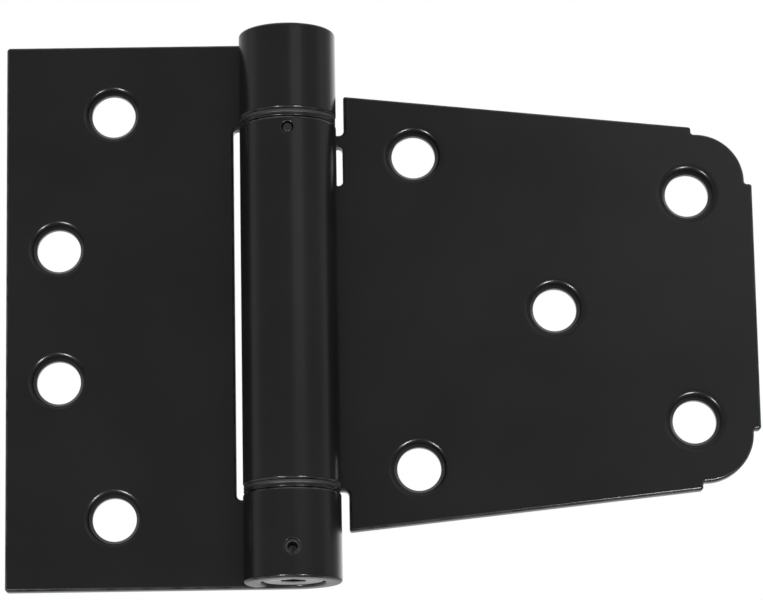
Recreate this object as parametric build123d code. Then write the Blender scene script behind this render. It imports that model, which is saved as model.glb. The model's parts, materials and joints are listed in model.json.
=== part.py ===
from build123d import *
import os
from math import acos, cos, degrees, floor, hypot, pi, radians, sin, tan

# Self-closing gate hinge for surface mounting. A rectangular post leaf carries the top and bottom
# knuckles, a tapered gate leaf carries the long middle knuckle, and a torsion spring inside the
# barrel swings the gate shut. Millimetres, +Z up along the barrel, leaf backs on the plane Y = 0,
# barrel towards -Y, X = 0 on the barrel axis, Z = 0 at half height.

# Sheet and barrel
hinge_height = 114.3
leaf_thickness = 3.4
knuckle_bore = 13.1
post_knuckle_length = 18.15
seam_gap = 0.4
edge_break = 0.5

# Post leaf
post_leaf_reach = 58.5
post_corner_radius = 0.7
post_slot_gap = 1.4
slot_corner_radius = 1.0
post_outer_hole_from_edge = 22.2
post_outer_hole_from_end = 14.65
post_inner_hole_from_edge = 10.8
post_inner_hole_spacing = 27.8

# Gate leaf
gate_leaf_reach = 96.2
gate_shoulder_height = 8.4
gate_shoulder_gap = 1.6
gate_end_height = 51.8
gate_corner_radius = 10.75
gate_corner_step = 1.55
gate_corner_break = 0.6
gate_near_hole_from_axis = 26.0
gate_near_hole_spacing = 65.8
gate_middle_hole_from_axis = 54.6
gate_far_hole_from_edge = 13.5
gate_far_hole_spacing = 47.8
relief_slot_length = 8.4
relief_slot_width = 1.8
relief_slot_from_end = 2.4
relief_slot_gap = 1.3

# Countersunk screw holes
screw_hole_diameter = 9.0
countersink_diameter = 11.0
countersink_angle = 60

# Bearings
bush_flange_thickness = 0.8
bush_wall = 1.25
bush_length = 10.0
thrust_washer_thickness = 0.7
bearing_inset = 0.15
axial_play = 0.1
running_clearance = 0.05
fit_clearance = 0.02
shoulder_relief = 0.2

# Spring and the two plugs that hold it
wire_width = 2.4
coil_gap = 2.8
coil_end_gap = 0.6
spring_clearance = 0.6
tang_bend_radius = 1.5
tang_clearance = 0.3
nose_clearance = 0.3
nose_length = 5.0
anchor_head_length = 12.0
journal_overrun = 1.0
plug_chamfer = 0.5
adjuster_recess = 0.5
hex_across_flats = 5.0
hex_depth = 6.0
socket_web = 0.4
adjuster_pin_holes = 4

# Pins and cap
anchor_pin_diameter = 2.4
anchor_pin_from_end = 2.4
anchor_pin_depth = 5.0
tension_pin_diameter = 3.2
tension_pin_wall = 0.6
tension_pin_slot = 0.8
tension_pin_from_end = 6.15
pin_recess = 0.35
pin_tip_gap = 0.3
pin_hole_chamfer = 0.3
cap_thickness = 3.0
cap_dish_depth = 0.6
cap_rim = 1.6

# Sizes worked out from the values above
bore_radius = knuckle_bore / 2
barrel_radius = bore_radius + leaf_thickness
hinge_top = hinge_height / 2
post_knuckle_end = hinge_top - post_knuckle_length
bearing_stack = bush_flange_thickness + thrust_washer_thickness + axial_play
gate_knuckle_end = post_knuckle_end - bearing_stack
plug_radius = bore_radius - fit_clearance
bush_bore_radius = plug_radius - bush_wall
journal_radius = bush_bore_radius - running_clearance
bearing_radius = barrel_radius - bearing_inset
screw_hole_radius = screw_hole_diameter / 2
coil_radius = bore_radius - spring_clearance - wire_width / 2
nose_radius = coil_radius - wire_width / 2 - nose_clearance
anchor_nose_top = gate_knuckle_end - anchor_head_length
adjuster_nose_base = -gate_knuckle_end + bush_length + journal_overrun
coil_top = anchor_nose_top - coil_end_gap - wire_width / 2
coil_bottom = adjuster_nose_base + coil_end_gap + wire_width / 2
tang_turn = acos(-tang_bend_radius / (coil_radius - tang_bend_radius))
tang_slot_angle = degrees(tang_turn) - 90
tang_slot_width = wire_width + 2 * tang_clearance
anchor_pin_height = gate_knuckle_end - anchor_pin_from_end
tension_pin_height = -hinge_top + tension_pin_from_end
adjuster_bottom = -hinge_top + adjuster_recess
hex_corner_radius = hex_across_flats / 2 / cos(pi / 6)
adjuster_hole_depth = plug_radius - hex_corner_radius - socket_web
overcut = 1.0


def on_axis(height=0.0):
    """Place on the barrel axis at a height."""
    return Pos(0, -barrel_radius, height)


def turned(*corners):
    """Solid turned about the barrel axis from (radius, height) corners."""
    profile = Plane.XZ * make_face(Polyline(*corners, close=True))
    return on_axis() * revolve(profile, Axis.Z)


def soft_plate(outline):
    """Flat sheet with every edge broken, but for the one at X = 0 that the knuckle is rolled from."""
    plate = extrude(Plane.XZ * outline, leaf_thickness)
    rims = plate.faces().filter_by(Axis.Y).edges()
    return chamfer(rims.filter_by(lambda rim: abs(rim.center().X) > edge_break), edge_break)


def rolled_knuckle(side, low, high):
    """Sheet rolled forward from X = 0 round to the leaf's own face, with the leaf on the given side."""
    roll_end = acos((bore_radius - seam_gap) / barrel_radius)
    reach = 2 * barrel_radius
    mouth = make_face(Polyline((0, 0), (0, reach), (side * reach * tan(roll_end), reach), close=True))
    ring = Circle(barrel_radius) - Circle(bore_radius) - mouth
    roll = extrude(ring, high - low)
    rims = roll.faces().filter_by(Axis.Z).edges().filter_by(GeomType.CIRCLE)
    return on_axis(low) * chamfer(rims.filter_by(lambda rim: rim.radius > bore_radius), edge_break)


def screw_hole(x, z):
    """Cutter for one countersunk hole, wide at the leaf's front."""
    slope = tan(radians(countersink_angle / 2))
    sink_radius = countersink_diameter / 2
    sink_start = leaf_thickness - (sink_radius - screw_hole_radius) / slope
    corners = [
        (0, overcut),
        (screw_hole_radius, overcut),
        (screw_hole_radius, -sink_start),
        (sink_radius + overcut * slope, -leaf_thickness - overcut),
        (0, -leaf_thickness - overcut),
    ]
    return Pos(x, 0, z) * revolve(make_face(Polyline(*corners, close=True)), Axis.Y)


def front_rod(radius, height, start, end):
    """Rod from the barrel's front towards the axis, between two depths below the barrel's surface."""
    rod = Cylinder(radius, end - start, align=(Align.CENTER, Align.CENTER, Align.MIN))
    return Pos(0, start - 2 * barrel_radius, height) * Rot(-90, 0, 0) * rod


def pin_hole(radius, height):
    """Cutter for a pin's hole through the knuckle's front wall, with a broken mouth."""
    mouth_depth = radius + pin_hole_chamfer
    mouth_length = mouth_depth + overcut
    mouth = Cone(0, mouth_length, mouth_length, align=(Align.CENTER, Align.CENTER, Align.MIN))
    mouth_place = Pos(0, mouth_depth - 2 * barrel_radius, height) * Rot(90, 0, 0)
    return front_rod(radius, height, -overcut, barrel_radius) + mouth_place * mouth


def make_post_leaf():
    """Rectangular leaf, slotted for the gate knuckle, with a knuckle rolled at each end."""
    slot_edge = barrel_radius + post_slot_gap
    outline = Rectangle(post_leaf_reach, hinge_height, align=(Align.MAX, Align.CENTER))
    outline = fillet(outline.vertices().group_by(Axis.X)[0], post_corner_radius)
    outline -= Rectangle(slot_edge, 2 * post_knuckle_end, align=(Align.MAX, Align.CENTER))
    slot_corners = outline.vertices().filter_by(lambda v: abs(v.X + slot_edge) < edge_break)
    leaf = soft_plate(fillet(slot_corners, slot_corner_radius))
    leaf += rolled_knuckle(-1, post_knuckle_end, hinge_top)
    leaf += rolled_knuckle(-1, -hinge_top, -post_knuckle_end)
    outer_x = post_outer_hole_from_edge - post_leaf_reach
    inner_x = post_inner_hole_from_edge - post_leaf_reach
    for end in (1, -1):
        leaf -= screw_hole(outer_x, end * (hinge_top - post_outer_hole_from_end))
        leaf -= screw_hole(inner_x, end * post_inner_hole_spacing / 2)
    return leaf - pin_hole(tension_pin_diameter / 2 + fit_clearance, tension_pin_height)


def gate_half_outline(end):
    """One long edge of the gate leaf, from the middle knuckle to half way down the far end."""
    shoulder_x = barrel_radius + gate_shoulder_gap
    knuckle_z = end * gate_knuckle_end
    root_z = knuckle_z + end * gate_shoulder_height
    corner_x = gate_leaf_reach - gate_corner_step - gate_corner_radius
    end_z = end * gate_end_height / 2
    arc_z = end_z + end * gate_corner_radius
    edge_z = arc_z + end * gate_corner_step
    middle = gate_corner_radius * cos(pi / 4)
    arc_middle = (corner_x + middle, end_z + end * middle)
    arc_end = (corner_x + gate_corner_radius, end_z)
    return [
        Line((0, knuckle_z), (shoulder_x, knuckle_z)),
        Line((shoulder_x, knuckle_z), (shoulder_x, root_z)),
        Line((shoulder_x, root_z), (corner_x, edge_z)),
        Line((corner_x, edge_z), (corner_x, arc_z)),
        ThreePointArc((corner_x, arc_z), arc_middle, arc_end),
        Line(arc_end, (gate_leaf_reach, end_z)),
        Line((gate_leaf_reach, end_z), (gate_leaf_reach, 0)),
    ]


def gate_outline():
    """Tapered strap with stepped round corners and a shoulder beside each post knuckle."""
    knuckle_side = Line((0, -gate_knuckle_end), (0, gate_knuckle_end))
    outline = make_face(gate_half_outline(1) + gate_half_outline(-1) + [knuckle_side])
    corners = outline.vertices().filter_by(lambda v: v.X > edge_break and abs(v.Y) > edge_break)
    near = corners.filter_by(lambda v: v.X < gate_near_hole_from_axis)
    roots = near.filter_by(lambda v: abs(v.Y) < gate_knuckle_end + edge_break)
    outline = fillet(roots, slot_corner_radius)
    far = outline.vertices().filter_by(lambda v: v.X > gate_middle_hole_from_axis)
    return fillet(far.filter_by(lambda v: abs(v.Y) > edge_break), gate_corner_break)


def make_gate_leaf():
    """Tapered leaf rolled into the middle knuckle, with five countersunk holes."""
    leaf = soft_plate(gate_outline())
    leaf += rolled_knuckle(1, -gate_knuckle_end, gate_knuckle_end)
    leaf -= screw_hole(gate_middle_hole_from_axis, 0)
    far_x = gate_leaf_reach - gate_far_hole_from_edge
    for end in (1, -1):
        leaf -= screw_hole(gate_near_hole_from_axis, end * gate_near_hole_spacing / 2)
        leaf -= screw_hole(far_x, end * gate_far_hole_spacing / 2)
    slot_x = barrel_radius + relief_slot_gap - relief_slot_width / 2
    slot_z = gate_knuckle_end - relief_slot_from_end - relief_slot_length / 2
    slot = SlotOverall(relief_slot_length, relief_slot_width, rotation=90)
    leaf -= extrude(Plane.XZ * Pos(slot_x, slot_z) * slot, leaf_thickness)
    return leaf - pin_hole(anchor_pin_diameter / 2 + fit_clearance, anchor_pin_height)


def make_bearing_bush(seat):
    """Flanged bush: its sleeve stands in the knuckle above the seat, its flange lies on the seat."""
    flange_face = seat - bush_flange_thickness
    sleeve_end = seat + bush_length
    return turned(
        (bush_bore_radius, flange_face),
        (bearing_radius, flange_face),
        (bearing_radius, seat),
        (plug_radius, seat),
        (plug_radius, sleeve_end),
        (bush_bore_radius, sleeve_end),
    )


def make_thrust_washer(flange_face):
    """Flat ring under a bush's flange."""
    face = flange_face - thrust_washer_thickness
    return turned(
        (bush_bore_radius, flange_face),
        (bearing_radius, flange_face),
        (bearing_radius, face),
        (bush_bore_radius, face),
    )


def tang_slot(base, tip, angle):
    """Cutter for the slot across a plug's nose that takes the spring's end."""
    slot = Box(4 * nose_radius, tang_slot_width, abs(tip - base) + overcut)
    middle = (base + tip) / 2 + overcut / 2 * (1 if tip > base else -1)
    return on_axis(middle) * Rot(0, 0, angle) * slot


def make_spring_anchor():
    """Upper plug: head pinned in the gate knuckle, journal above it and slotted nose below it."""
    head_top = gate_knuckle_end - shoulder_relief
    journal_top = post_knuckle_end + bush_length + journal_overrun
    nose_tip = anchor_nose_top - nose_length
    anchor = turned(
        (0, nose_tip),
        (nose_radius - plug_chamfer, nose_tip),
        (nose_radius, nose_tip + plug_chamfer),
        (nose_radius, anchor_nose_top),
        (plug_radius, anchor_nose_top),
        (plug_radius, head_top),
        (journal_radius, head_top),
        (journal_radius, journal_top - plug_chamfer),
        (journal_radius - plug_chamfer, journal_top),
        (0, journal_top),
    )
    anchor -= tang_slot(anchor_nose_top, nose_tip, tang_slot_angle)
    hole_end = leaf_thickness + anchor_pin_depth + pin_tip_gap
    return anchor - front_rod(anchor_pin_diameter / 2 + fit_clearance, anchor_pin_height, 0, hole_end)


def make_tension_adjuster():
    """Lower plug: hex socket below, ring of holes for the tension pin, journal and slotted nose above."""
    shoulder = -post_knuckle_end - shoulder_relief
    nose_tip = adjuster_nose_base + nose_length
    adjuster = turned(
        (0, adjuster_bottom),
        (plug_radius - plug_chamfer, adjuster_bottom),
        (plug_radius, adjuster_bottom + plug_chamfer),
        (plug_radius, shoulder),
        (journal_radius, shoulder),
        (journal_radius, adjuster_nose_base),
        (nose_radius, adjuster_nose_base),
        (nose_radius, nose_tip - plug_chamfer),
        (nose_radius - plug_chamfer, nose_tip),
        (0, nose_tip),
    )
    adjuster -= tang_slot(adjuster_nose_base, nose_tip, -tang_slot_angle)
    socket = extrude(RegularPolygon(hex_corner_radius, 6, rotation=30), hex_depth)
    adjuster -= on_axis(adjuster_bottom) * socket
    hole = front_rod(
        tension_pin_diameter / 2 + fit_clearance,
        tension_pin_height,
        leaf_thickness - overcut,
        leaf_thickness + adjuster_hole_depth,
    )
    for step in range(adjuster_pin_holes):
        turn = Rot(0, 0, step * 360 / adjuster_pin_holes)
        adjuster -= on_axis() * turn * on_axis().inverse() * hole
    return adjuster


def make_torsion_spring():
    """Square wire wound between the two plugs, with each end bent in across its plug's nose."""
    span = coil_top - coil_bottom
    turns = floor(span / (wire_width + coil_gap))
    coil = Helix(span / turns, span, coil_radius, center=(0, 0, coil_bottom))
    spring = sweep(wire_section(coil, 0, 1), path=coil, is_frenet=True)
    spring += sweep(wire_section(coil, 0, -1), path=tang_path(coil, 0, -1))
    spring += sweep(wire_section(coil, 1, 1), path=tang_path(coil, 1, 1))
    return on_axis() * spring


def inward_from(point):
    """Level direction from a point of the coil to the barrel axis."""
    return Vector(-point.X, -point.Y, 0).normalized()


def wire_section(coil, at, sense):
    """The wire's square section at one end of the coil, facing along it or back."""
    start = coil @ at
    plane = Plane(origin=start, x_dir=inward_from(start), z_dir=(coil % at) * sense)
    return plane * Rectangle(wire_width, wire_width)


def tang_path(coil, at, sense):
    """From one end of the coil, a bend and a straight run through the barrel axis."""
    start = coil @ at
    ahead = (coil % at) * sense
    inward = inward_from(start)

    def bend(angle):
        along = ahead * (tang_bend_radius * sin(angle))
        return start + along + inward * (tang_bend_radius * (1 - cos(angle)))

    bend_end = bend(tang_turn)
    heading = ahead * cos(tang_turn) + inward * sin(tang_turn)
    run = hypot(bend_end.X, bend_end.Y) + nose_radius - tang_clearance
    arc = ThreePointArc(start, bend(tang_turn / 2), bend_end)
    return Wire([arc, Line(bend_end, bend_end + heading * run)])


def make_anchor_pin():
    """Plain dowel that ties the spring anchor to the gate knuckle."""
    tip = leaf_thickness + anchor_pin_depth
    pin = front_rod(anchor_pin_diameter / 2, anchor_pin_height, pin_recess, tip)
    return chamfer(pin.edges().filter_by(GeomType.CIRCLE), pin_recess)


def make_tension_pin():
    """Slotted hollow pin that locks the adjuster to the bottom knuckle."""
    tip = leaf_thickness + adjuster_hole_depth - pin_tip_gap
    outer = front_rod(tension_pin_diameter / 2, tension_pin_height, pin_recess, tip)
    hollow = front_rod(tension_pin_diameter / 2 - tension_pin_wall, tension_pin_height, 0, barrel_radius)
    below = (Align.CENTER, Align.CENTER, Align.MAX)
    slot = Box(tension_pin_slot, 2 * barrel_radius, tension_pin_diameter, align=below)
    return outer - hollow - Pos(0, -2 * barrel_radius, tension_pin_height) * slot


def make_top_cap():
    """Plug that closes the top knuckle, with a shallow dish in its face."""
    bottom = hinge_top - cap_thickness
    return turned(
        (0, bottom),
        (plug_radius, bottom),
        (plug_radius, hinge_top - plug_chamfer),
        (plug_radius - plug_chamfer, hinge_top),
        (plug_radius - cap_rim, hinge_top),
        (plug_radius - cap_rim - cap_dish_depth, hinge_top - cap_dish_depth),
        (0, hinge_top - cap_dish_depth),
    )


pieces = {
    "post_leaf": make_post_leaf(),
    "gate_leaf": make_gate_leaf(),
    "upper_bearing_bush": make_bearing_bush(post_knuckle_end),
    "lower_bearing_bush": make_bearing_bush(-gate_knuckle_end),
    "upper_thrust_washer": make_thrust_washer(post_knuckle_end - bush_flange_thickness),
    "lower_thrust_washer": make_thrust_washer(-gate_knuckle_end - bush_flange_thickness),
    "spring_anchor": make_spring_anchor(),
    "anchor_pin": make_anchor_pin(),
    "tension_adjuster": make_tension_adjuster(),
    "tension_pin": make_tension_pin(),
    "torsion_spring": make_torsion_spring(),
    "top_cap": make_top_cap(),
}

os.makedirs("parts", exist_ok=True)
for name, piece in pieces.items():
    export_step(piece, f"parts/{name}.step")
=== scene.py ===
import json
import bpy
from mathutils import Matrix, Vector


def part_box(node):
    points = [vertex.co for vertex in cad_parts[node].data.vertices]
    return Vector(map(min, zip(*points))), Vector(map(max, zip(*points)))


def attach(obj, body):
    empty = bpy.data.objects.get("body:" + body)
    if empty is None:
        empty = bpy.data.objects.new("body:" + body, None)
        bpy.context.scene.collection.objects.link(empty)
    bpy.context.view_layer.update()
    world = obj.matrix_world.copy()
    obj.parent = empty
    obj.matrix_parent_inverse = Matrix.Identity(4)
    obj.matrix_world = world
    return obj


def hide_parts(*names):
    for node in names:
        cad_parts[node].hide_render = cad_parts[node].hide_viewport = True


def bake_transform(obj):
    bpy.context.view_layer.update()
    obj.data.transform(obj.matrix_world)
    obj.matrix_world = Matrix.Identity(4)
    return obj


bl_info = {
    "name": "Self-Closing Gate Hinge",
    "version": (1, 0, 0),
    "blender": (4, 5, 0),
    "location": "3D Viewport > Sidebar > Gate Hinge",
    "description": "Finished surfaces of a spring gate hinge on its packed solids, and a studio to show it in",
    "category": "Object",
}

from math import acos, atan2, cos, pi, radians, sin, tan
from typing import NamedTuple

import bmesh
import bpy
import numpy as np
from bpy.props import FloatProperty, FloatVectorProperty, IntProperty, PointerProperty
from bpy.types import Operator, Panel, PropertyGroup
from mathutils import Matrix, Vector
from mathutils.geometry import area_tri, delaunay_2d_cdt

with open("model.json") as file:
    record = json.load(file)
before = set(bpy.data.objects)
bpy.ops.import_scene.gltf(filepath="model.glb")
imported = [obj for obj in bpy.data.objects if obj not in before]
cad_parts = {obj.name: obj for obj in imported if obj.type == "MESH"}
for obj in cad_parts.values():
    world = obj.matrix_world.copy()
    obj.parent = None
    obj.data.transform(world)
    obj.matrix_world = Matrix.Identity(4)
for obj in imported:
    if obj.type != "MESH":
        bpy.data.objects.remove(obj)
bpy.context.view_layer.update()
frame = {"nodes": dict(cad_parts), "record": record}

MM = 0.001
SAME_POINT = 0.001 * MM
SEAM_WELD = 0.002 * MM
TIGHTEST_RADIUS = 0.02 * MM
SLIVER_SHARE = 1e-5
CUT_TOLERANCE = 1e-9
SHARP_ANGLE = radians(25)
FLAT_ANGLE = radians(0.5)
FRAME_WIDE, FRAME_HIGH = 763, 600
MOUNTS = {mount["name"]: mount for mount in frame["record"]["mounts"]}
POST_LOW, POST_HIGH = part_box("post_leaf")
GATE_LOW, GATE_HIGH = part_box("gate_leaf")


def length(name, description, default_mm):
    """A length that the user can change, given here in millimetres."""
    return FloatProperty(
        name=name, description=description, default=default_mm * MM, min=0.0, precision=5, unit="LENGTH"
    )


def colour(name, description, default):
    """A surface colour that the user can change."""
    return FloatVectorProperty(
        name=name, description=description, default=default, size=3, min=0.0, max=1.0, subtype="COLOR"
    )


def share(name, description, default):
    """A share between none and all."""
    return FloatProperty(name=name, description=description, default=default, min=0.0, max=1.0, subtype="FACTOR")


class HingeSizes(PropertyGroup):
    """Sizes of the leaves, the barrel and what shows of the bearings."""

    sheet: length("Sheet", "Thickness of the leaves", 3.4)
    edge_radius: length("Edge radius", "Rounding of the coated edges", 0.6)
    flat_band: length("Flat band", "Level strip between a rounded edge and the open face", 0.15)
    seam_gap: length("Seam gap", "Gap between a knuckle's rolled end and its own leaf", 0.4)
    slot_gap: length("Slot gap", "Gap between the post leaf and the gate's knuckle", 1.4)
    slot_corner: length("Slot corner", "Radius in the corners of the post leaf's slot", 1.0)
    post_corner: length("Post corner", "Corner radius of the post leaf", 0.7)
    shoulder_gap: length("Shoulder gap", "Gap between the gate leaf's shoulders and the barrel", 1.6)
    shoulder_corner: length("Shoulder corner", "Corner radius of the gate leaf's shoulders", 0.5)
    gate_end: length("Gate end", "Straight height of the gate leaf's far end", 51.8)
    gate_corner: length("Gate corner", "Radius of the gate leaf's round corners", 10.75)
    corner_step: length("Corner step", "Step on each side of a round corner", 1.55)
    corner_break: length("Corner break", "Radius at the steps", 0.6)
    sink_radius: length("Countersink radius", "Radius of a countersink at the leaf's front", 5.5)
    sink_depth: length("Countersink depth", "Depth of a countersink from the leaf's front", 1.732)
    sink_rim: length("Countersink rim", "Rounding of the coating over a countersink's rim", 1.4)
    sink_throat: length("Countersink throat", "Rounding where a countersink meets its straight hole", 0.2)
    hole_edge: length("Hole edge", "Rounding of a screw hole's rear edge", 0.3)
    roll_tip: length("Roll tip", "Corner radius at a knuckle's rolled end", 0.3)
    relief_length: length("Relief length", "Length of the relief slot beside the gate's knuckle", 8.4)
    relief_width: length("Relief width", "Width of the relief slot", 1.8)
    relief_gap: length("Relief gap", "Far side of the relief slot from the barrel", 1.3)
    relief_inset: length("Relief inset", "Start of the relief slot from the knuckle's end", 2.4)
    relief_rear_edge: length("Relief rear edge", "Rounding of the relief slot's rear edge", 0.25)
    relief_front_edge: length("Relief front edge", "Rounding of the relief slot's front edge", 0.35)
    relief_band: length("Relief band", "Level strip round the relief slot's rounded edges", 0.25)
    relief_end_flat: length("Relief end flat", "Straight part left in the relief slot's round ends", 0.02)
    pin_clearance: length("Pin clearance", "Gap round a pin in its knuckle", 0.02)
    pin_hole_edge: length("Pin hole edge", "Rounding of a pin hole's edge in the bore", 0.2)
    pin_hole_band: length("Pin hole band", "Width of the rim round a pin hole", 0.3)
    pin_edge: length("Pin edge", "Rounding of the pins' ends", 0.1)
    cap_edge: length("Cap edge", "Rounding of the top cap's edges", 0.15)
    flange: length("Flange", "Thickness of a bush's flange", 0.8)
    bush_wall: length("Bush wall", "Thickness of a bush's sleeve", 1.25)
    washer_edge: length("Washer edge", "Rounding of the washers and flanges", 0.22)
    play: length("Play", "Gap under the upper thrust washer", 0.1)
    wire: length("Wire", "Width of the spring's square wire", 2.4)
    wire_corner: length("Wire corner", "Rounding along the spring's wire", 0.3)
    coil_radius: length("Coil radius", "Radius of the spring to the middle of its wire", 4.75)
    coil_span: length("Coil span", "Height of the spring's coil to the middle of its wire", 48.2)
    coil_turns: IntProperty(name="Coil turns", description="Turns of the spring", default=9, min=3, max=20)
    tang_bend: length("Tang bend", "Radius where the spring's ends turn in", 1.5)
    tang_over: length("Tang over", "Reach of the spring's ends past the barrel axis", 2.95)
    socket_depth: length("Socket depth", "Depth of the adjuster's key socket", 6.0)
    # Radius of the painted shade round the adjuster's key socket.
    shaded_socket_radius: length("Socket radius", "Radius of the grimy place round the key socket", 3.0)
    roll_parts: IntProperty(name="Roll parts", description="Facets round a knuckle", default=90, min=24, max=180)


class HingeFinishes(PropertyGroup):
    """Colours and gloss of the hinge's surfaces."""

    coat: colour("Coat", "Black coating of the leaves", (0.007, 0.007, 0.0072))
    coat_edge: colour("Coat edge", "Coating where it is thin over an edge", (0.075, 0.075, 0.077))
    coat_roughness: share("Coat roughness", "Roughness of the black coating", 0.18)
    coat_gloss: share("Coat gloss", "Specular level of the black coating", 0.135)
    plastic: colour("Bush plastic", "Black bearing plastic", (0.009, 0.009, 0.009))
    steel: colour("Dark steel", "Darkened turned steel of the plugs", (0.16, 0.16, 0.165))
    # Lighter steel painted on the adjuster's open face as a highlight.
    plug_highlight_steel: colour("Bare steel", "Plug's face where the key and the air have worn it bright", (0.33, 0.325, 0.315))
    pin_steel: colour("Pin steel", "Blackened steel of the pins", (0.014, 0.014, 0.0145))
    spring: colour("Spring steel", "Drawn spring wire", (0.34, 0.33, 0.31))


class HingeStudio(PropertyGroup):
    """Floor and room."""

    floor: colour("Floor", "Pale studio floor", (0.82, 0.82, 0.82))
    floor_radius: length("Floor radius", "Reach of the round floor", 6000.0)
    floor_drop: length("Floor drop", "Floor below the hinge's middle", 320.0)
    ambient: share("Ambient", "Brightness of the room for the lit surfaces", 0.85)


class Corner(NamedTuple):
    """Corner of an outline in the leaf's plane, with what rounds it and how the edge after it is cut."""

    x: float
    z: float
    radius: float = 0.0
    steps: int = 6
    parts: int = 1


class Edge(NamedTuple):
    """Corner of a section, with what rounds it."""

    across: float
    deep: float
    radius: float = 0.0


def inset_loop(corners, inset):
    """Points of a closed outline, anticlockwise, moved inwards and rounded."""
    points = [Vector((corner.x, corner.z)) for corner in corners]
    ways = [(points[i] - points[i - 1]).normalized() for i in range(len(points))]
    ways_out = ways[1:] + ways[:1]
    arcs = []
    for corner, point, way_in, way_out in zip(corners, points, ways, ways_out):
        turn = atan2(way_in.x * way_out.y - way_in.y * way_out.x, way_in.dot(way_out))
        left_in = Vector((-way_in.y, way_in.x))
        left_out = Vector((-way_out.y, way_out.x))
        moved = point + (left_in + left_out) * (inset / (1 + left_in.dot(left_out)))
        if corner.radius == 0:
            arcs.append([moved])
            continue
        bend = 1 if turn > 0 else -1
        radius = max(corner.radius - bend * inset, TIGHTEST_RADIUS)
        start = moved - way_in * (radius * tan(abs(turn) / 2))
        centre = start + left_in * (radius * bend)
        arm = start - centre
        turns = [turn * step / corner.steps for step in range(corner.steps + 1)]
        arcs.append([centre + Matrix.Rotation(angle, 2) @ arm for angle in turns])
    loop = []
    for i, corner in enumerate(corners):
        loop += arcs[i]
        first, last = arcs[i][-1], arcs[(i + 1) % len(arcs)][0]
        loop += [first.lerp(last, part / corner.parts) for part in range(1, corner.parts)]
    return loop


def soft_path(edges, steps=6):
    """Section line with rounded corners, as (across, deep, how far round a corner) rows."""
    points = [Vector((edge.across, edge.deep)) for edge in edges]
    rows = []
    for i, edge in enumerate(edges):
        if edge.radius == 0:
            rows.append((*points[i], 0.0))
            continue
        way_in = (points[i] - points[i - 1]).normalized()
        way_out = (points[(i + 1) % len(points)] - points[i]).normalized()
        turn = atan2(way_in.x * way_out.y - way_in.y * way_out.x, way_in.dot(way_out))
        start = points[i] - way_in * (edge.radius * tan(abs(turn) / 2))
        side = Vector((-way_in.y, way_in.x)) * (edge.radius if turn > 0 else -edge.radius)
        for step in range(steps + 1):
            place = start + side + Matrix.Rotation(turn * step / steps, 2) @ -side
            rows.append((*place, sin(pi * step / steps)))
    return rows


class SheetMesh:
    """Mesh of a flat leaf blank: x along the sheet, y through it, z up, with how worn each edge is."""

    def __init__(self):
        self.mesh = bmesh.new()
        self.rim = self.mesh.verts.layers.float.new("rim")
        self.seat = self.mesh.verts.layers.float.new("seat")

    def ring(self, points, deep, wear=0.0):
        """Vertices of one closed loop at a depth below the leaf's back."""
        ring = []
        for point in points:
            vert = self.mesh.verts.new((point[0], -deep, point[1]))
            vert[self.rim] = wear
            ring.append(vert)
        return ring

    def wall(self, rings):
        """Faces between neighbouring loops."""
        for low, high in zip(rings, rings[1:]):
            for i in range(len(low)):
                self.mesh.faces.new((low[i - 1], low[i], high[i], high[i - 1]))

    def face(self, rings, cuts, deep):
        """Triangles between a rim and its openings at one depth, with cuts across the roll."""
        verts = [vert for ring in rings for vert in ring]
        edges = []
        for ring in rings:
            first = len(edges)
            edges += [(first + i, first + (i + 1) % len(ring)) for i in range(len(ring))]
        borders = np.array([[verts[a].co.xz, verts[b].co.xz] for a, b in edges])
        for low, high in cuts:
            ends = []
            for end in (low, high):
                if isinstance(end, bmesh.types.BMVert):
                    ends.append(verts.index(end))
                else:
                    ends.append(len(verts))
                    verts += self.ring([end], deep)
            edges.append(tuple(ends))
        places = [vert.co.xz for vert in verts]
        made, _, faces, origins, _, _ = delaunay_2d_cdt(places, edges, [], 0, CUT_TOLERANCE)
        for corners in faces:
            first, second, third = (made[i] for i in corners)
            if not is_sliver(first, second, third) and is_inside((first + second + third) / 3, borders):
                self.mesh.faces.new([verts[origins[i][0]] for i in corners])

    def mark_seat(self, x, z):
        """Lone vertex where a countersink goes."""
        vert = self.mesh.verts.new((x, 0, z))
        vert[self.seat] = 1.0

    def to_object(self, name):
        """Mesh object of the blank."""
        data = bpy.data.meshes.new(name)
        self.mesh.to_mesh(data)
        self.mesh.free()
        return link(name, data)


def is_sliver(first, second, third):
    """True for a triangle whose corners are in line."""
    longest = max((second - first).length_squared, (third - second).length_squared, (first - third).length_squared)
    return area_tri(first, second, third) < SLIVER_SHARE * longest


def is_inside(point, borders):
    """True where a level line from the point crosses the borders an odd number of times."""
    start, end = borders[:, 0], borders[:, 1]
    spans = (start[:, 1] > point.y) != (end[:, 1] > point.y)
    start, end = start[spans], end[spans]
    crossing = start[:, 0] + (point.y - start[:, 1]) * (end[:, 0] - start[:, 0]) / (end[:, 1] - start[:, 1])
    return np.count_nonzero(crossing > point.x) % 2 == 1


def link(name, data):
    """New object in the scene."""
    thing = bpy.data.objects.new(name, data)
    bpy.context.scene.collection.objects.link(thing)
    return thing


def circle(x, z, radius, count, stretch=1.0):
    """Points of a circle in the leaf's plane, which may be stretched along the sheet."""
    angles = [2 * pi * i / count for i in range(count)]
    return [Vector((x + radius * stretch * cos(a), z + radius * sin(a))) for a in angles]


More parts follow.
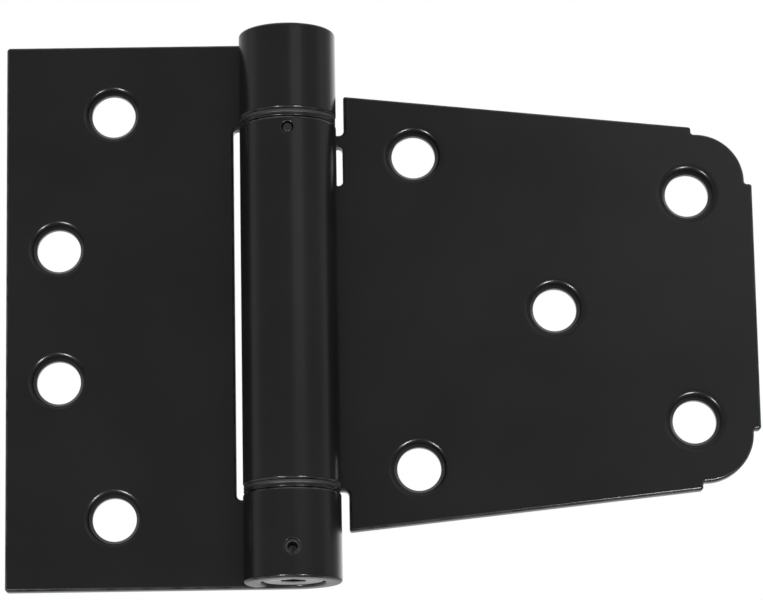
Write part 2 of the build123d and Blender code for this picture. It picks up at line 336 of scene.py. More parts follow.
class NodeBuilder:
    """Adds nodes to one tree."""

    def __init__(self, tree):
        self.tree = tree

    def node(self, kind, settings=None, inputs=None):
        """One node with its settings, and its sockets fed by name or number."""
        made = self.tree.nodes.new(kind)
        for name, value in (settings or {}).items():
            setattr(made, name, value)
        for name, value in (inputs or {}).items():
            if isinstance(value, Term):
                self.tree.links.new(value.socket, made.inputs[name])
            elif isinstance(value, bpy.types.NodeSocket):
                self.tree.links.new(value, made.inputs[name])
            else:
                made.inputs[name].default_value = value
        return made

    def term(self, kind, settings=None, inputs=None, output=0):
        """One node's output as a term for maths."""
        return Term(self, self.node(kind, settings, inputs).outputs[output])


class Term:
    """A number in a node tree, so that node maths reads as plain maths."""

    def __init__(self, builder, socket):
        self.builder = builder
        self.socket = socket

    def math(self, operation, *values):
        inputs = dict(enumerate(values))
        return self.builder.term("ShaderNodeMath", {"operation": operation}, inputs)

    def __add__(self, other):
        return self.math("ADD", self, other)

    __radd__ = __add__

    def __sub__(self, other):
        return self.math("SUBTRACT", self, other)

    def __rsub__(self, other):
        return self.math("SUBTRACT", other, self)

    def __mul__(self, other):
        return self.math("MULTIPLY", self, other)

    __rmul__ = __mul__

    def __truediv__(self, other):
        return self.math("DIVIDE", self, other)

    def above(self, other):
        return self.math("MAXIMUM", self, other)

    def below(self, other):
        return self.math("MINIMUM", self, other)

    def sine(self):
        return self.math("SINE", self)

    def cosine(self):
        return self.math("COSINE", self)

    def band(self, low, high):
        """Zero at the low value and one at the high value, smooth between."""
        settings = {"interpolation_type": "SMOOTHSTEP"}
        return self.builder.term("ShaderNodeMapRange", settings, {"Value": self, "From Min": low, "From Max": high})


class GeometryTree(NodeBuilder):
    """Geometry node tree with named inputs, which ends in plain geometry with a material."""

    def __init__(self, name):
        super().__init__(bpy.data.node_groups.new(name, "GeometryNodeTree"))
        self.values = {}
        self.entry = self.node("NodeGroupInput")
        self.tree.interface.new_socket("Geometry", in_out="OUTPUT", socket_type="NodeSocketGeometry")
        self.source = self.add_input("Geometry", "NodeSocketGeometry", None)

    def add_input(self, name, socket_type, value):
        """Named input, and the value that the modifier gives it."""
        socket = self.tree.interface.new_socket(name, in_out="INPUT", socket_type=socket_type)
        if value is not None:
            self.values[socket.identifier] = value
        return Term(self, self.entry.outputs[name])

    def finish(self, geometry, material):
        """Closes the tree."""
        plain = self.term("GeometryNodeRealizeInstances", None, {"Geometry": geometry})
        coat = self.add_input("Material", "NodeSocketMaterial", material)
        dressed = self.term("GeometryNodeSetMaterial", None, {"Geometry": plain, "Material": coat})
        self.node("NodeGroupOutput", None, {"Geometry": dressed})

    def bake(self, thing):
        """Plain mesh of an object with this tree on it; the object itself goes."""
        modifier = thing.modifiers.new("Shape", "NODES")
        modifier.node_group = self.tree
        for identifier, value in self.values.items():
            modifier[identifier] = value
        graph = bpy.context.evaluated_depsgraph_get()
        data = bpy.data.meshes.new_from_object(
            thing.evaluated_get(graph), preserve_all_data_layers=True, depsgraph=graph
        )
        bpy.data.objects.remove(thing)
        return data


class Finish(NodeBuilder):
    """Node material round one Principled shader."""

    def __init__(self, name, **sockets):
        self.material = bpy.data.materials.new(name)
        self.material.use_nodes = True
        super().__init__(self.material.node_tree)
        self.tree.nodes.clear()
        self.shader = self.node("ShaderNodeBsdfPrincipled", None, sockets)
        self.node("ShaderNodeOutputMaterial", None, {"Surface": self.shader.outputs[0]})
        self.place = self.node("ShaderNodeTexCoord").outputs["Object"]

    def noise(self, grain_mm, detail=2.0, place=None):
        """Cloudy pattern whose features are about the given size."""
        inputs = {"Vector": place or self.place, "Scale": 1 / (grain_mm * MM), "Detail": detail}
        return self.term("ShaderNodeTexNoise", None, inputs)

    def moved(self, shift, scale=(1, 1, 1)):
        """Object coordinates scaled along each axis and then moved."""
        inputs = {"Vector": self.place, "Location": shift, "Scale": scale}
        return self.node("ShaderNodeMapping", None, inputs).outputs[0]

    def distance(self, place):
        """How far a place is from the origin."""
        return self.term("ShaderNodeVectorMath", {"operation": "LENGTH"}, {0: place}, output="Value")

    def mix(self, factor, first, second):
        """Colour between two colours."""
        inputs = {"Factor": factor, 6: first, 7: second}
        return self.node("ShaderNodeMix", {"data_type": "RGBA"}, inputs).outputs[2]

    def feed(self, **sockets):
        """Links what changes over the surface to the shader."""
        for name, value in sockets.items():
            socket = value.socket if isinstance(value, Term) else value
            self.tree.links.new(socket, self.shader.inputs[name.replace("_", " ").title()])

    def relief(self, height, depth_mm, strength):
        """Fine relief of the surface from a height pattern."""
        bump = self.node("ShaderNodeBump", None, {"Height": height, "Distance": depth_mm * MM, "Strength": strength})
        self.feed(normal=bump.outputs[0])


def tint(colour_value, level=1.0):
    """Colour with alpha, made lighter or darker."""
    return (*(channel * level for channel in colour_value), 1.0)


def coat_finish(finishes):
    """Semi-gloss black coating: faint orange peel, cloudy gloss, thin and slightly paler over edges."""
    coat = Finish("black_coat", **{"Specular IOR Level": finishes.coat_gloss})
    peel = coat.noise(1.6)
    speckle = coat.noise(0.18, detail=1.0)
    cloud = coat.noise(22, detail=3.0)
    smudge = coat.noise(7, detail=4.0).band(0.52, 0.72)
    rim = coat.term("ShaderNodeAttribute", {"attribute_name": "rim"}, output="Fac")
    thin = rim.band(0.35, 1.0) * coat.noise(2.4, detail=3.0).band(0.25, 0.7)
    body = coat.mix(cloud.band(0.3, 0.7), tint(finishes.coat, 0.85), tint(finishes.coat, 1.2))
    coat.feed(
        base_color=coat.mix(thin * 0.8, body, tint(finishes.coat_edge)),
        roughness=finishes.coat_roughness + cloud * 0.03 + speckle * 0.05 + smudge * 0.02 - thin * 0.06,
    )
    coat.relief(peel * 0.8 + speckle * 0.2, depth_mm=0.03, strength=0.35)
    return coat.material


def plastic_finish(finishes):
    """Plain black bearing plastic with a fine moulded grain."""
    plastic = Finish("bush_plastic", **{"Specular IOR Level": 0.35})
    grain = plastic.noise(0.25)
    patch = plastic.noise(3)
    plastic.feed(
        base_color=plastic.mix(patch, tint(finishes.plastic, 0.8), tint(finishes.plastic, 1.3)),
        roughness=0.42 + grain * 0.12,
    )
    plastic.relief(grain, depth_mm=0.02, strength=0.4)
    return plastic.material


def steel_finish(finishes):
    """Darkened steel with turning marks, with a painted highlight of lighter steel on the adjuster's open face and
    painted shade in its key socket.
    """
    steel = Finish("dark_steel", Metallic=1.0)
    rings = steel.noise(0.35, detail=3.0, place=steel.moved((0, 0, 0), (0.15, 0.15, 1.0)))
    patch = steel.noise(1.8, detail=3.0)
    rubbed = patch.band(0.45, 0.7)
    sizes = bpy.context.scene.hinge_sizes
    face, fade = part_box("tension_adjuster")[0].z, 0.5 * MM
    from_face = steel.moved((0, 0, -face))
    up = steel.term("ShaderNodeSeparateXYZ", None, {"Vector": from_face}, output="Z")
    off_axis = steel.distance(steel.moved((0, barrel_radius(), 0), (1, 1, 0)))
    # Painted highlight: the open face, up to a fade above it, gets the lighter steel.
    face_highlight_mask = 1 - up.band(0.2 * fade, 1.2 * fade)
    # Painted shade: inside the key socket, near the axis and above its floor, the steel is painted near-black from the
    # pin steel colour and made rougher.
    deep = up.band(0.1 * fade, 0.6 * fade) * (1 - up.band(sizes.socket_depth, sizes.socket_depth + fade))
    socket_shade = off_axis.band(sizes.shaded_socket_radius + fade, sizes.shaded_socket_radius) * deep
    body = steel.mix(rubbed, tint(finishes.steel, 0.7), tint(finishes.steel, 1.5))
    highlight_colour = steel.mix(rubbed, tint(finishes.plug_highlight_steel, 0.8), tint(finishes.plug_highlight_steel, 1.1))
    steel.feed(
        base_color=steel.mix(socket_shade, steel.mix(face_highlight_mask, body, highlight_colour), tint(finishes.pin_steel, 0.4)),
        roughness=0.3 + rings * 0.16 - rubbed * 0.06 + socket_shade * 0.3,
    )
    steel.relief(rings * 0.7 + patch * 0.3, depth_mm=0.02, strength=0.4)
    return steel.material


def pin_finish(finishes):
    """Blackened pins, rubbed a little on their ends."""
    pin = Finish("pin_steel", Metallic=0.7)
    rubbed = pin.noise(0.7, detail=3.0).band(0.5, 0.75)
    grain = pin.noise(0.15)
    pin.feed(
        base_color=pin.mix(rubbed, tint(finishes.pin_steel, 0.6), tint(finishes.pin_steel, 2.0)),
        roughness=0.34 + grain * 0.14,
    )
    pin.relief(grain, depth_mm=0.015, strength=0.35)
    return pin.material


def spring_finish(finishes):
    """Drawn wire with lengthwise lines and a film of oil."""
    wire = Finish("spring_steel", Metallic=1.0)
    around, along = (
        wire.term("ShaderNodeAttribute", {"attribute_name": name}, output="Fac") for name in ("around", "along")
    )
    strand = wire.node("ShaderNodeCombineXYZ", None, {"X": around, "Y": along * 0.03}).outputs[0]
    lines = wire.noise(0.2, place=strand)
    film = wire.noise(4)
    wire.feed(
        base_color=wire.mix(film.band(0.35, 0.65), tint(finishes.spring, 0.75), tint(finishes.spring, 1.1)),
        roughness=0.24 + lines * 0.2,
    )
    wire.relief(lines, depth_mm=0.015, strength=0.35)
    return wire.material


FINISHES = {
    "black_coat": coat_finish,
    "bush_plastic": plastic_finish,
    "dark_steel": steel_finish,
    "pin_steel": pin_finish,
    "spring_steel": spring_finish,
}


def finish_for(name):
    """Material of one finish, made when it is first asked for."""
    return bpy.data.materials.get(f"hinge_{name}") or make_finish(name)


def make_finish(name):
    """New material of one finish."""
    material = FINISHES[name](bpy.context.scene.hinge_finishes)
    material.name = f"hinge_{name}"
    return material


def settle(name, data, body, slot, *nodes):
    """Finished piece at the origin: smooth, facing out, riding on its body, with the solids it takes the place of
    hidden.
    """
    mesh = bmesh.new()
    mesh.from_mesh(data)
    bmesh.ops.remove_doubles(mesh, verts=mesh.verts, dist=SAME_POINT)
    loose = [vert for vert in mesh.verts if not vert.link_faces]
    bmesh.ops.delete(mesh, geom=loose, context="VERTS")
    bmesh.ops.recalc_face_normals(mesh, faces=mesh.faces)
    mesh.to_mesh(data)
    mesh.free()
    data.shade_smooth()
    if not data.materials:
        data.materials.append(finish_for(slot))
    piece = link(name, data)
    if body:
        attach(piece, body)
    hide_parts(*nodes)
    return piece


def barrel_radius():
    """Radius of the barrel, whose rear is on the plane of the leaf backs."""
    return -POST_LOW.y / 2


def revolve(section, count=96):
    """Mesh turned about the barrel axis from a closed section of (radius, height, wear) rows."""
    mesh = bmesh.new()
    rim = mesh.verts.layers.float.new("rim")
    rings = []
    for radius, height, wear in section:
        ring = []
        for i in range(count):
            angle = 2 * pi * i / count
            place = (radius * cos(angle), radius * sin(angle) - barrel_radius(), height)
            vert = mesh.verts.new(place)
            vert[rim] = wear
            ring.append(vert)
        rings.append(ring)
    for low, high in zip(rings[-1:] + rings[:-1], rings):
        for i in range(count):
            mesh.faces.new((low[i - 1], low[i], high[i], high[i - 1]))
    data = bpy.data.meshes.new("turned")
    mesh.to_mesh(data)
    mesh.free()
    return data


def countersink(sizes, hole_radius, count=72):
    """Wall of one countersunk hole through the sheet, round the origin."""
    wide = sizes.sink_radius
    start = sizes.sheet - sizes.sink_depth
    edges = [
        Edge(hole_radius + 2 * sizes.hole_edge, 0),
        Edge(hole_radius, 0, sizes.hole_edge),
        Edge(hole_radius, start, sizes.sink_throat),
        Edge(wide, sizes.sheet, sizes.sink_rim),
        Edge(wide + sizes.sink_rim, sizes.sheet),
    ]
    sheet = SheetMesh()
    rows = soft_path(edges, steps=8)
    sheet.wall([sheet.ring(circle(0, 0, across, count), deep) for across, deep, _ in rows])
    return sheet.to_object("countersink"), rows[0][0], rows[-1][0], count


def roll_leaf(blank, seat_shape, side, material):
    """Mesh of a leaf: countersinks set on their seats, then the sheet beyond X = 0 rolled into a knuckle."""
    tree = GeometryTree("Rolled Leaf")
    barrel = tree.add_input("Barrel Radius", "NodeSocketFloat", barrel_radius())
    way = tree.add_input("Side", "NodeSocketFloat", float(side))
    shape = tree.add_input("Countersink", "NodeSocketObject", seat_shape)
    is_seat = tree.node("GeometryNodeInputNamedAttribute", {"data_type": "FLOAT"}, {"Name": "seat"}).outputs[0]
    sorted_parts = tree.node(
        "GeometryNodeSeparateGeometry", {"domain": "POINT"}, {"Geometry": tree.source, "Selection": is_seat}
    )
    sink = tree.node("GeometryNodeObjectInfo", None, {"Object": shape}).outputs["Geometry"]
    sinks = tree.term(
        "GeometryNodeInstanceOnPoints", None, {"Points": sorted_parts.outputs[0], "Instance": sink}
    )
    loose_sinks = tree.term("GeometryNodeRealizeInstances", None, {"Geometry": sinks})
    join = tree.node("GeometryNodeJoinGeometry", None, {"Geometry": sorted_parts.outputs[1]})
    tree.tree.links.new(loose_sinks.socket, join.inputs[0])
    merged = tree.term("GeometryNodeMergeByDistance", None, {"Geometry": join.outputs[0], "Distance": SEAM_WELD})
    place = tree.node("GeometryNodeInputPosition").outputs[0]
    split = tree.node("ShaderNodeSeparateXYZ", None, {"Vector": place})
    along = Term(tree, split.outputs[0]) * way
    through = Term(tree, split.outputs[1])
    angle = along.above(0.0) / barrel
    arm = barrel + through
    rolled_x = way * (along.below(0.0) + arm * angle.sine())
    rolled_y = arm * angle.cosine() - barrel
    rolled = tree.node(
        "ShaderNodeCombineXYZ", None, {"X": rolled_x, "Y": rolled_y, "Z": split.outputs[2]}
    ).outputs[0]
    shaped = tree.term("GeometryNodeSetPosition", None, {"Geometry": merged, "Position": rolled})
    tree.finish(shaped, material)
    data = tree.bake(blank)
    bpy.data.objects.remove(seat_shape)
    return data


def roll_cuts(ring, side, opening):
    """Pairs of rim points across each knuckle, split round the pin's opening."""
    levels = sorted(vert.co.z for vert in ring if abs(vert.co.x) < SAME_POINT)
    rolled = sorted((vert for vert in ring if vert.co.x * side > -SAME_POINT), key=lambda vert: abs(vert.co.x))
    rows = [[vert for vert in rolled if abs(vert.co.z - level) < SAME_POINT] for level in levels]
    pairs = [pair for low, high in zip(rows[::2], rows[1::2]) for pair in zip(low, high)]
    pin_x, pin_z, reach_x, reach_z = opening
    cuts = []
    for low, high in pairs:
        x = (low.co.x + high.co.x) / 2
        off = abs(x - pin_x) / reach_x
        if off < 1 and low.co.z < pin_z < high.co.z:
            clear = reach_z * (1 - off * off) ** 0.5
            cuts.append((low, Vector((x, pin_z - clear))))
            if pin_z + clear < high.co.z - SAME_POINT:
                cuts.append((Vector((x, pin_z + clear)), high))
        else:
            cuts.append((low, high))
    return cuts


def build_leaf(sizes, corners, side, seats, pin_node, slots):
    """Flat blank of a leaf with its pin hole and slots open, and its countersinks' seats marked."""
    sheet = SheetMesh()
    hole_radius = MOUNTS["post_outer_holes"]["dims"]["hole_r_mm"] * MM
    sink, back_radius, front_radius, count = countersink(sizes, hole_radius)
    band = sizes.edge_radius + sizes.flat_band
    rim = [
        Edge(band, 0),
        Edge(0, 0, sizes.edge_radius),
        Edge(0, sizes.sheet, sizes.edge_radius),
        Edge(band, sizes.sheet),
    ]
    rings = [sheet.ring(inset_loop(corners, inset), deep, wear) for inset, deep, wear in soft_path(rim)]
    sheet.wall(rings)
    backs, fronts = [rings[0]], [rings[-1]]
    for x, z in seats:
        sheet.mark_seat(x, z)
        backs.append(sheet.ring(circle(x, z, back_radius, count), 0))
        fronts.append(sheet.ring(circle(x, z, front_radius, count), sizes.sheet))
    for outline in slots:
        section = [
            Edge(sizes.relief_rear_edge + sizes.relief_band, 0),
            Edge(0, 0, sizes.relief_rear_edge),
            Edge(0, sizes.sheet, sizes.relief_front_edge),
            Edge(sizes.relief_front_edge + sizes.relief_band, sizes.sheet),
        ]
        walls = [sheet.ring(inset_loop(outline, -grow), deep, wear) for grow, deep, wear in soft_path(section)]
        sheet.wall(walls)
        backs.append(walls[0])
        fronts.append(walls[-1])
    pin_low, pin_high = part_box(pin_node)
    pin_x = side * pi * barrel_radius()
    pin_z = (pin_low.z + pin_high.z) / 2
    pin_radius = (pin_high.x - pin_low.x) / 2 + sizes.pin_clearance
    section = [
        Edge(pin_radius + sizes.pin_hole_band, 0),
        Edge(pin_radius, 0, sizes.pin_hole_edge),
        Edge(pin_radius, sizes.sheet),
    ]
    walls, pin_parts = [], 40
    for across, deep, wear in soft_path(section):
        stretch = barrel_radius() / (barrel_radius() - deep)
        walls.append(sheet.ring(circle(pin_x, pin_z, across, pin_parts, stretch), deep, wear))
    sheet.wall(walls)
    backs.append(walls[0])
    fronts.append(walls[-1])
    for faces, deep, stretch in ((backs, 0, 1.0), (fronts, sizes.sheet, stretch)):
        reach = pin_radius + 2 * sizes.pin_hole_band
        cuts = roll_cuts(faces[0], side, (pin_x, pin_z, reach * stretch, reach))
        sheet.face(faces, cuts, deep)
    return sheet.to_object("blank"), sink


def roll_length(sizes):
    """Length of sheet in one knuckle, measured on the barrel's surface."""
    bore = barrel_radius() - sizes.sheet
    mouth = acos((bore - sizes.seam_gap) / barrel_radius())
    return barrel_radius() * (2 * pi - mouth)


def seat_pair(name):
    """Centres of a pair of holes, one above the other."""
    mount = MOUNTS[name]
    half = mount["dims"]["spacing_y_mm"] * MM / 2
    return [(mount["pos_m"][0], half), (mount["pos_m"][0], -half)]


class HINGE_OT_post_leaf(Operator):
    """Post leaf: rectangular sheet with a slot for the gate's knuckle, rolled into the end knuckles"""

    bl_idname = "hinge.post_leaf"
    bl_label = "Post Leaf"

    def execute(self, context):
        sizes = context.scene.hinge_sizes
        edge, end = POST_LOW.x, POST_HIGH.z
        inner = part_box("upper_thrust_washer")[1].z + sizes.flange
        slot = -barrel_radius() - sizes.slot_gap
        roll, parts, tip = roll_length(sizes), sizes.roll_parts, sizes.roll_tip
        corners = [
            Corner(edge, -end, sizes.post_corner),
            Corner(0, -end, parts=parts),
            Corner(roll, -end, tip),
            Corner(roll, -inner, tip, parts=parts),
            Corner(0, -inner),
            Corner(slot, -inner, sizes.slot_corner),
            Corner(slot, inner, sizes.slot_corner),
            Corner(0, inner, parts=parts),
            Corner(roll, inner, tip),
            Corner(roll, end, tip, parts=parts),
            Corner(0, end),
            Corner(edge, end, sizes.post_corner),
        ]
        seats = seat_pair("post_outer_holes") + seat_pair("post_inner_holes")
        blank, sink = build_leaf(sizes, corners, 1, seats, "tension_pin", [])
        data = roll_leaf(blank, sink, 1, finish_for("black_coat"))
        settle("post_leaf_rolled", data, "post", "black_coat", "post_leaf")
        return {"FINISHED"}


class HINGE_OT_gate_leaf(Operator):
    """Gate leaf: tapered strap with stepped round corners, rolled into the middle knuckle"""

    bl_idname = "hinge.gate_leaf"
    bl_label = "Gate Leaf"

    def execute(self, context):
        sizes = context.scene.hinge_sizes
        far, root = GATE_HIGH.x, GATE_HIGH.z
        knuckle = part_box("upper_thrust_washer")[0].z - sizes.play
        shoulder = barrel_radius() + sizes.shoulder_gap
        small = sizes.corner_break
        end_z = sizes.gate_end / 2
        arc_z = end_z + sizes.gate_corner
        edge_z = arc_z + sizes.corner_step
        arc_x = far - sizes.corner_step
        edge_x = arc_x - sizes.gate_corner
        roll, parts, tip = roll_length(sizes), sizes.roll_parts, sizes.roll_tip
        round_corner = sizes.gate_corner - small
        corners = [
            Corner(-roll, -knuckle, tip, parts=parts),
            Corner(0, -knuckle),
            Corner(shoulder, -knuckle, sizes.slot_corner),
            Corner(shoulder, -root, sizes.shoulder_corner),
            Corner(edge_x, -edge_z, small),
            Corner(edge_x, -arc_z, small),
            Corner(arc_x, -arc_z, round_corner, steps=24),
            Corner(arc_x, -end_z, small),
            Corner(far, -end_z, small),
            Corner(far, end_z, small),
            Corner(arc_x, end_z, small),
            Corner(arc_x, arc_z, round_corner, steps=24),
            Corner(edge_x, arc_z, small),
            Corner(edge_x, edge_z, small),
            Corner(shoulder, root, sizes.shoulder_corner),
            Corner(shoulder, knuckle, sizes.slot_corner),
            Corner(0, knuckle, parts=parts),
            Corner(-roll, knuckle, tip),
        ]
        relief_high = knuckle - sizes.relief_inset
        relief_low = relief_high - sizes.relief_length
        relief_far = barrel_radius() + sizes.relief_gap
        relief_near = relief_far - sizes.relief_width
        tight = (sizes.relief_width - sizes.relief_end_flat) / 2
        relief = [
            Corner(relief_near, relief_low, tight),
            Corner(relief_far, relief_low, tight),
            Corner(relief_far, relief_high, tight),
            Corner(relief_near, relief_high, tight),
        ]
        middle = MOUNTS["gate_middle_hole"]["pos_m"]
        seats = seat_pair("gate_near_holes") + seat_pair("gate_far_holes") + [(middle[0], middle[2])]
        blank, sink = build_leaf(sizes, corners, -1, seats, "anchor_pin", [relief])
        data = roll_leaf(blank, sink, -1, finish_for("black_coat"))
        settle("gate_leaf_rolled", data, "gate", "black_coat", "gate_leaf")
        return {"FINISHED"}


class HINGE_OT_bearings(Operator):
    """Bearings: the two flanged bushes and their thrust washers, with rounded rims"""

    bl_idname = "hinge.bearings"
    bl_label = "Bearings"

    def execute(self, context):
        sizes = context.scene.hinge_sizes
        soft = sizes.washer_edge
        for place, body in (("upper", "post"), ("lower", "gate")):
            low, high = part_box(f"{place}_thrust_washer")
            bush_low, bush_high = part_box(f"{place}_bearing_bush")
            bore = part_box("tension_adjuster")[1].x - sizes.bush_wall
            rim = high.x
            washer = [
                Edge(bore, low.z),
                Edge(rim, low.z, soft),
                Edge(rim, high.z, soft),
                Edge(bore, high.z),
            ]
            data = revolve(soft_path(washer))
            settle(f"{place}_washer", data, body, "black_coat", f"{place}_thrust_washer")
            seat = bush_low.z + sizes.flange
            sleeve = bore + sizes.bush_wall
            bush = [
                Edge(bore, bush_low.z),
                Edge(rim, bush_low.z, soft),
                Edge(rim, seat, soft),
                Edge(sleeve, seat),
                Edge(sleeve, bush_high.z, soft),
                Edge(bore, bush_high.z),
            ]
            data = revolve(soft_path(bush))
            settle(f"{place}_bush", data, body, "bush_plastic", f"{place}_bearing_bush")
        return {"FINISHED"}


class HINGE_OT_plugs(Operator):
    """Plugs and pins: copies of the turned solids, with soft edges on the black cap and the blackened pins"""

    bl_idname = "hinge.plugs"
    bl_label = "Plugs and Pins"

    def execute(self, context):
        sizes = context.scene.hinge_sizes
        copies = (
            ("top_cap", "post", "black_coat", "black_coat", sizes.cap_edge),
            ("tension_adjuster", "post", "dark_steel", "dark_steel", 0),
            ("tension_pin", "post", "dark_steel", "pin_steel", sizes.pin_edge),
            ("spring_anchor", "gate", "dark_steel", "dark_steel", 0),
            ("anchor_pin", "gate", "dark_steel", "pin_steel", sizes.pin_edge),
        )
        for node, body, slot, finish, soft in copies:
            data = soft_copy(node, soft)
            data.materials.append(finish_for(finish))
            settle(f"{node}_turned", data, body, slot, node)
        return {"FINISHED"}


def soft_copy(node, radius):
    """Mesh of a solid with its sharp edges rounded, or kept as they are where the radius is zero."""
    mesh = bmesh.new()
    mesh.from_mesh(frame["nodes"][node].data)
    bmesh.ops.remove_doubles(mesh, verts=mesh.verts, dist=SAME_POINT)
    data = bpy.data.meshes.new(node)
    if radius == 0:
        for edge in mesh.edges:
            edge.smooth = edge.calc_face_angle(0) < SHARP_ANGLE
        mesh.to_mesh(data)
        mesh.free()
        data.materials.clear()
        return data
    bmesh.ops.dissolve_limit(mesh, angle_limit=FLAT_ANGLE, verts=mesh.verts, edges=mesh.edges)
    mesh.to_mesh(data)
    mesh.clear()
    data.materials.clear()
    data.materials.append(None)
    data.materials.append(None)
    source = link("soft_copy", data)
    bevel = source.modifiers.new("Soft edges", "BEVEL")
    bevel.width = radius
    bevel.segments = 3
    bevel.limit_method = "ANGLE"
    bevel.angle_limit = SHARP_ANGLE
    bevel.use_clamp_overlap = True
    bevel.material = 1
    graph = bpy.context.evaluated_depsgraph_get()
    soft = bpy.data.meshes.new_from_object(source.evaluated_get(graph), depsgraph=graph)
    bpy.data.objects.remove(source)
    mesh.from_mesh(soft)
    for edge in mesh.edges:
        edge.smooth = len({face.material_index for face in edge.link_faces}) == 1
    for face in mesh.faces:
        face.material_index = 0
    mesh.to_mesh(soft)
    mesh.free()
    soft.materials.clear()
    return soft


def tang_points(sizes, start, ahead):
    """From one end of the coil, a bend and a straight run past the barrel axis."""
    bend, steps = sizes.tang_bend, 10
    inward = -Vector((start.x, start.y, 0)).normalized()
    turn = acos(-bend / (sizes.coil_radius - bend))
    points = []
    for step in range(steps + 1):
        angle = turn * step / steps
        points.append(start + ahead * (bend * sin(angle)) + inward * (bend * (1 - cos(angle))))
    heading = ahead * cos(turn) + inward * sin(turn)
    return points + [points[-1] + heading * (points[-1].xy.length + sizes.tang_over)]


def spring_path(sizes, foot):
    """Points along the middle of the spring's wire from tang to tang, round the origin's upright axis."""
    parts, radius = 48, sizes.coil_radius
    count = parts * sizes.coil_turns
    coil = []
    for step in range(count + 1):
        angle = 2 * pi * step / parts
        coil.append(Vector((radius * cos(angle), radius * sin(angle), foot + sizes.coil_span * step / count)))
    ahead = Vector((0, 2 * pi * radius * sizes.coil_turns, sizes.coil_span)).normalized()
    return tang_points(sizes, coil[0], -ahead)[::-1] + coil[1:-1] + tang_points(sizes, coil[-1], ahead)


def draw_wire(points, sizes, material):
    """Mesh of a soft-cornered square wire along a path, with how far along and round the wire each point is."""
    data = bpy.data.meshes.new("wire_path")
    moved = [point - Vector((0, barrel_radius(), 0)) for point in points]
    data.from_pydata(moved, [(i, i + 1) for i in range(len(moved) - 1)], [])
    tree = GeometryTree("Drawn Wire")
    wire = tree.add_input("Wire", "NodeSocketFloat", sizes.wire)
    corner = tree.add_input("Corner", "NodeSocketFloat", sizes.wire_corner)
    place = tree.node("GeometryNodeSplineParameter")
    path = tree.term("GeometryNodeMeshToCurve", None, {"Mesh": tree.source})
    upright = tree.term("GeometryNodeSetCurveNormal", {"mode": "Z_UP"}, {"Curve": path})
    measured = tree.term(
        "GeometryNodeStoreNamedAttribute",
        {"data_type": "FLOAT"},
        {"Geometry": upright, "Name": "along", "Value": place.outputs["Length"]},
    )
    square = tree.term("GeometryNodeCurvePrimitiveQuadrilateral", None, {"Width": wire, "Height": wire})
    soft = tree.term("GeometryNodeFilletCurve", {"mode": "POLY"}, {"Curve": square, "Radius": corner, "Count": 3})
    section = tree.term(
        "GeometryNodeStoreNamedAttribute",
        {"data_type": "FLOAT"},
        {"Geometry": soft, "Name": "around", "Value": place.outputs["Length"]},
    )
    drawn = tree.term(
        "GeometryNodeCurveToMesh", None, {"Curve": measured, "Profile Curve": section, "Fill Caps": True}
    )
    tree.finish(drawn, material)
    return tree.bake(link("wire_path", data))


class HINGE_OT_spring(Operator):
    """Torsion spring: square wire drawn along its coil, with both ends bent in"""

    bl_idname = "hinge.spring"
    bl_label = "Torsion Spring"

    def execute(self, context):
        sizes = context.scene.hinge_sizes
        swing = frame["record"]["behaviour"]["joints"][0]
        foot = swing["deforming_nodes"][0]["fixed_end_z_m"]
        data = draw_wire(spring_path(sizes, foot), sizes, finish_for("spring_steel"))
        spring = settle("torsion_spring_wound", data, None, "spring_steel", "torsion_spring")
        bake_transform(spring)
        return {"FINISHED"}


class HINGE_OT_studio(Operator):
    """Studio: pale floor, white surroundings, soft lamps and the camera"""

    bl_idname = "hinge.studio"
    bl_label = "Studio"

    def execute(self, context):
        studio = context.scene.hinge_studio
        add_floor(studio)
        light_room(studio)
        add_lamps()
        add_camera()
        context.scene.view_settings.view_transform = "Standard"
        return {"FINISHED"}


def add_floor(studio):
    """Large pale floor below the hinge."""
    mesh = bmesh.new()
    bmesh.ops.create_circle(mesh, cap_ends=True, segments=96, radius=studio.floor_radius)
    data = bpy.data.meshes.new("floor")
    mesh.to_mesh(data)
    mesh.free()
    floor = link("floor", data)
    floor.location.z = -studio.floor_drop
    pale = Finish("pale_floor", **{"Specular IOR Level": 0.0})
    tone = pale.mix(pale.noise(300), tint(studio.floor, 0.99), tint(studio.floor))
    pale.feed(base_color=tone)
    data.materials.append(pale.material)


def light_room(studio):
    """White for the camera and for reflections, and a soft level for what it lights."""
    world = bpy.data.worlds.new("studio_room")
    bpy.context.scene.world = world
    world.use_nodes = True
    room = NodeBuilder(world.node_tree)
    world.node_tree.nodes.clear()
    path = room.node("ShaderNodeLightPath")
    seen = Term(room, path.outputs["Is Camera Ray"])
    for ray in ("Is Glossy Ray", "Is Transmission Ray"):
        seen = seen.above(Term(room, path.outputs[ray]))
    strength = studio.ambient + seen * (1 - studio.ambient)
    back = room.node("ShaderNodeBackground", None, {"Color": (1, 1, 1, 1), "Strength": strength})
    room.node("ShaderNodeOutputWorld", None, {"Surface": back.outputs[0]})


class Lamp(NamedTuple):
    """Soft lamp turned to the hinge's middle; brightness 1 is the white of the room, a glint shows in gloss alone."""

    name: str
    place: tuple
    wide: float
    tall: float
    brightness: float
    glint: bool = False


LAMPS = (
    Lamp("left_key", (-0.45, -0.5, 1.25), 1.0, 1.0, 0.7),
    Lamp("right_key", (0.5, -0.45, 1.2), 1.0, 1.0, 0.7),
    Lamp("right_front", (0.71, -1.46, 0.42), 1.25, 0.6, 0.2),
    Lamp("right_end", (0.55, -1.37, 0.55), 0.7, 0.55, 1.6),
    Lamp("left_side", (-1.0, -0.03, 0.25), 0.3, 0.5, 0.4),
    Lamp("right_side", (1.0, -0.03, 0.25), 0.3, 0.5, 0.4),
    Lamp("rear", (0.75, 1.2, 0.35), 1.0, 0.7, 1.0),
    Lamp("left_low", (-0.21, -0.46, -0.29), 0.1, 0.08, 215.0, glint=True),
    Lamp("right_low", (0.21, -0.46, -0.29), 0.1, 0.08, 215.0, glint=True),
)


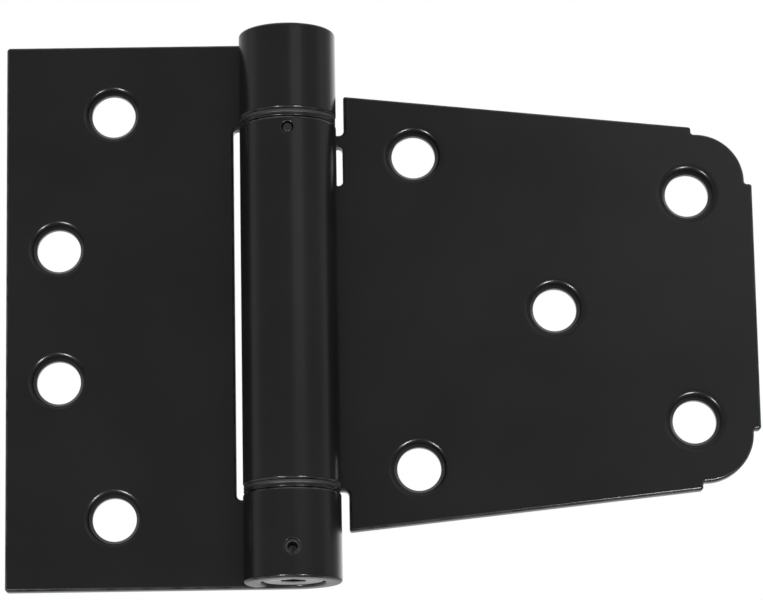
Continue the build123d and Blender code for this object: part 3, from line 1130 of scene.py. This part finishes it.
def add_lamps():
    """Soft lamps round the hinge, and two small low ones that glint in the countersinks' rims."""
    for lamp in LAMPS:
        light = bpy.data.lights.new(lamp.name, "AREA")
        light.shape = "RECTANGLE"
        light.size, light.size_y = lamp.wide, lamp.tall
        light.energy = lamp.brightness * pi * lamp.wide * lamp.tall
        thing = link(lamp.name, light)
        thing.location = lamp.place
        thing.rotation_euler = (-thing.location).to_track_quat("-Z", "Y").to_euler()
        thing.visible_camera = False
        thing.visible_diffuse = not lamp.glint


def add_camera():
    """Camera at the photograph's viewing angle, in front of the barrel and below it, looking up."""
    place = Vector((5.1, -702.0, -148.2)) * MM
    yaw, pitch, roll = radians(0.603), radians(11.652), radians(-0.915)
    focal, centre_x, centre_y = 3467.7, 351.0, 330.5
    camera = bpy.data.cameras.new("camera")
    camera.sensor_width = 36
    camera.lens = focal / FRAME_WIDE * camera.sensor_width
    camera.shift_x = (FRAME_WIDE / 2 - centre_x) / FRAME_WIDE
    camera.shift_y = (centre_y - FRAME_HIGH / 2) / FRAME_WIDE
    camera.clip_start, camera.clip_end = 0.01, 50
    thing = link("camera", camera)
    turned = Matrix.Rotation(-yaw, 4, "Z") @ Matrix.Rotation(pi / 2 + pitch, 4, "X") @ Matrix.Rotation(roll, 4, "Z")
    thing.matrix_world = Matrix.Translation(place) @ turned
    bpy.context.scene.camera = thing


OPERATORS = (
    HINGE_OT_post_leaf,
    HINGE_OT_gate_leaf,
    HINGE_OT_bearings,
    HINGE_OT_plugs,
    HINGE_OT_spring,
    HINGE_OT_studio,
)


class HINGE_PT_panel(Panel):
    """Lists the hinge's pieces and their sizes."""

    bl_idname = "HINGE_PT_panel"
    bl_label = "Gate Hinge"
    bl_space_type = "VIEW_3D"
    bl_region_type = "UI"
    bl_category = "Gate Hinge"

    def draw(self, context):
        for group in (context.scene.hinge_sizes, context.scene.hinge_finishes, context.scene.hinge_studio):
            column = self.layout.column()
            for name in group.__annotations__:
                column.prop(group, name)
        for operator in OPERATORS:
            self.layout.operator(operator.bl_idname)


GROUPS = (HingeSizes, HingeFinishes, HingeStudio)


def register():
    for item in (*GROUPS, *OPERATORS, HINGE_PT_panel):
        bpy.utils.register_class(item)
    bpy.types.Scene.hinge_sizes = PointerProperty(type=HingeSizes)
    bpy.types.Scene.hinge_finishes = PointerProperty(type=HingeFinishes)
    bpy.types.Scene.hinge_studio = PointerProperty(type=HingeStudio)


def unregister():
    del bpy.types.Scene.hinge_studio, bpy.types.Scene.hinge_finishes, bpy.types.Scene.hinge_sizes
    for item in reversed((*GROUPS, *OPERATORS, HINGE_PT_panel)):
        bpy.utils.unregister_class(item)


def main():
    register()
    bpy.ops.hinge.post_leaf()
    bpy.ops.hinge.gate_leaf()
    bpy.ops.hinge.bearings()
    bpy.ops.hinge.plugs()
    bpy.ops.hinge.spring()
    bpy.ops.hinge.studio()


if __name__ == "__main__":
    main()
